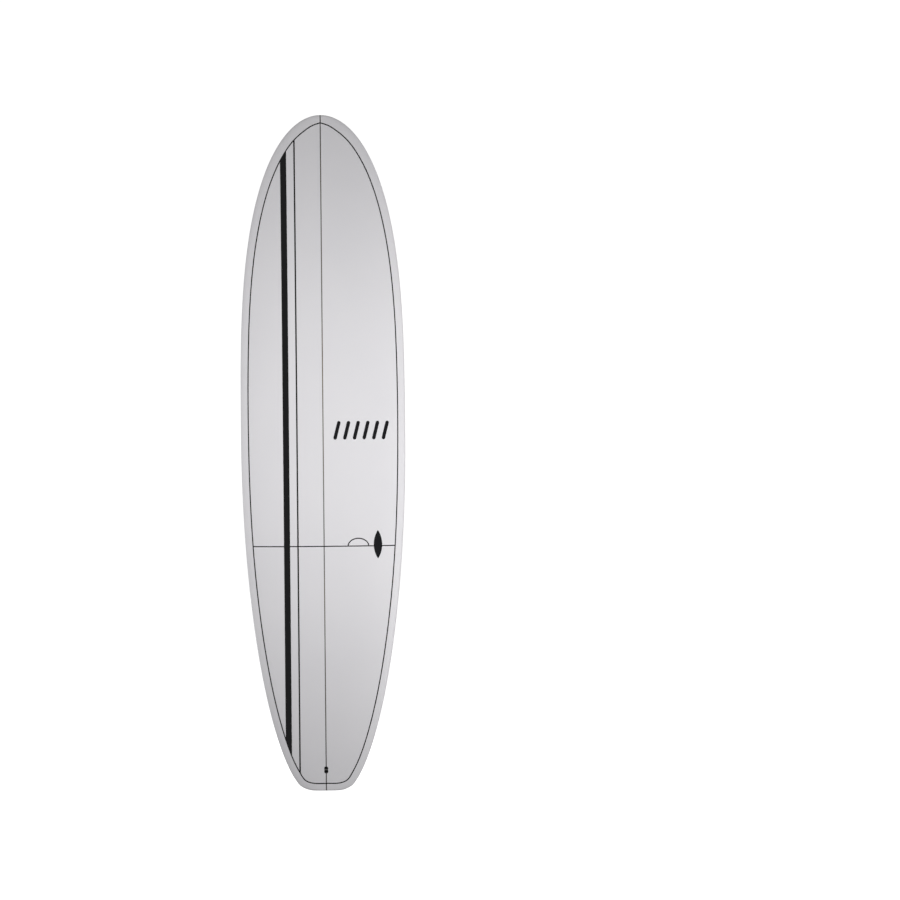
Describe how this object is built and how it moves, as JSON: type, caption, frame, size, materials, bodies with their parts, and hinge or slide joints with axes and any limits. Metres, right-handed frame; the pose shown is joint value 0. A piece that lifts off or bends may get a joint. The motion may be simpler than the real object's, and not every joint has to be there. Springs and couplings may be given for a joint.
{
  "type": "longboard surfboard",
  "caption": "Mid-length longboard surfboard with round nose, squash tail, wooden stringer, black deck lines, removable-fin boxes and a leash plug; fins not fitted.",
  "frame": {"origin": "middle of the flat tail end, on the stringer's centreline, where the upright board rests", "axes": "+Z along the stringer from tail to nose, +Y out of the bottom, -Y out of the deck, +X to starboard"},
  "size_m": [0.5654, 0.1348, 2.286],
  "materials": {
    "white_laminate": "gloss resin over glass cloth",
    "black_paint": "black paint under the gloss coat",
    "black_decal": "black paper decal under the gloss coat",
    "pale_decal": "pale print under the gloss coat",
    "orange_decal": "orange print under the gloss coat",
    "foam": "shaped foam",
    "stringer_wood": "bare softwood",
    "black_plastic": "moulded, satin",
    "grey_plastic": "moulded, satin",
    "steel": "stainless, dull",
    "rubber_seal": "matt"
  },
  "bodies": {
    "board": {"foam_core_port": "foam", "foam_core_starboard": "foam", "stringer": "stringer_wood", "deck_laminate": "white_laminate", "bottom_laminate": "white_laminate", "deck_pinline": "black_paint", "wide_stripe": "black_paint", "thin_stripe": "black_paint", "cross_line": "black_paint", "deck_lozenge": "black_paint", "deck_bars": "black_paint", "bottom_label": "orange_decal", "bottom_oval": "black_decal", "oval_ring": "pale_decal", "port_fin_box": "black_plastic", "starboard_fin_box": "black_plastic", "centre_fin_box": "black_plastic", "leash_cup": "black_plastic", "leash_bar": "steel", "vent_plug": "grey_plastic", "vent_o_ring": "rubber_seal"},
    "port_front_grub_screw": {"port_front_grub_screw": "steel"},
    "port_rear_grub_screw": {"port_rear_grub_screw": "steel"},
    "starboard_front_grub_screw": {"starboard_front_grub_screw": "steel"},
    "starboard_rear_grub_screw": {"starboard_rear_grub_screw": "steel"},
    "centre_front_grub_screw": {"centre_front_grub_screw": "steel"},
    "centre_rear_grub_screw": {"centre_rear_grub_screw": "steel"},
    "vent_screw": {"vent_screw": "steel"}
  },
  "joints": [
    {"name": "port_front_grub_turn", "type": "hinge", "parent": "board", "child": "port_front_grub_screw", "pos_m": [-0.15452, 0.04632, 0.39083], "axis": [0.5719, 0.8156, -0.0879], "range_deg": [0, 720]},
    {"name": "port_rear_grub_turn", "type": "hinge", "parent": "board", "child": "port_rear_grub_screw", "pos_m": [-0.15633, 0.04214, 0.34024], "axis": [0.5719, 0.8156, -0.0879], "range_deg": [0, 720]},
    {"name": "starboard_front_grub_turn", "type": "hinge", "parent": "board", "child": "starboard_front_grub_screw", "pos_m": [0.15452, 0.04632, 0.39083], "axis": [-0.5719, 0.8156, -0.0879], "range_deg": [0, 720]},
    {"name": "starboard_rear_grub_turn", "type": "hinge", "parent": "board", "child": "starboard_rear_grub_screw", "pos_m": [0.15633, 0.04214, 0.34024], "axis": [-0.5719, 0.8156, -0.0879], "range_deg": [0, 720]},
    {"name": "centre_front_grub_turn", "type": "hinge", "parent": "board", "child": "centre_front_grub_screw", "pos_m": [-0.0116, 0.0298, 0.18076], "axis": [-0.6157, 0.7837, -0.0825], "range_deg": [0, 720]},
    {"name": "centre_rear_grub_turn", "type": "hinge", "parent": "board", "child": "centre_rear_grub_screw", "pos_m": [0.0116, 0.02448, 0.13024], "axis": [0.6157, 0.7837, -0.0825], "range_deg": [0, 720]},
    {"name": "vent_screw_turn", "type": "hinge", "parent": "board", "child": "vent_screw", "pos_m": [0.024, 0.01159, 0.021], "axis": [0.0056, 0.9922, -0.1244], "range_deg": [0, 1080]}
  ]
}
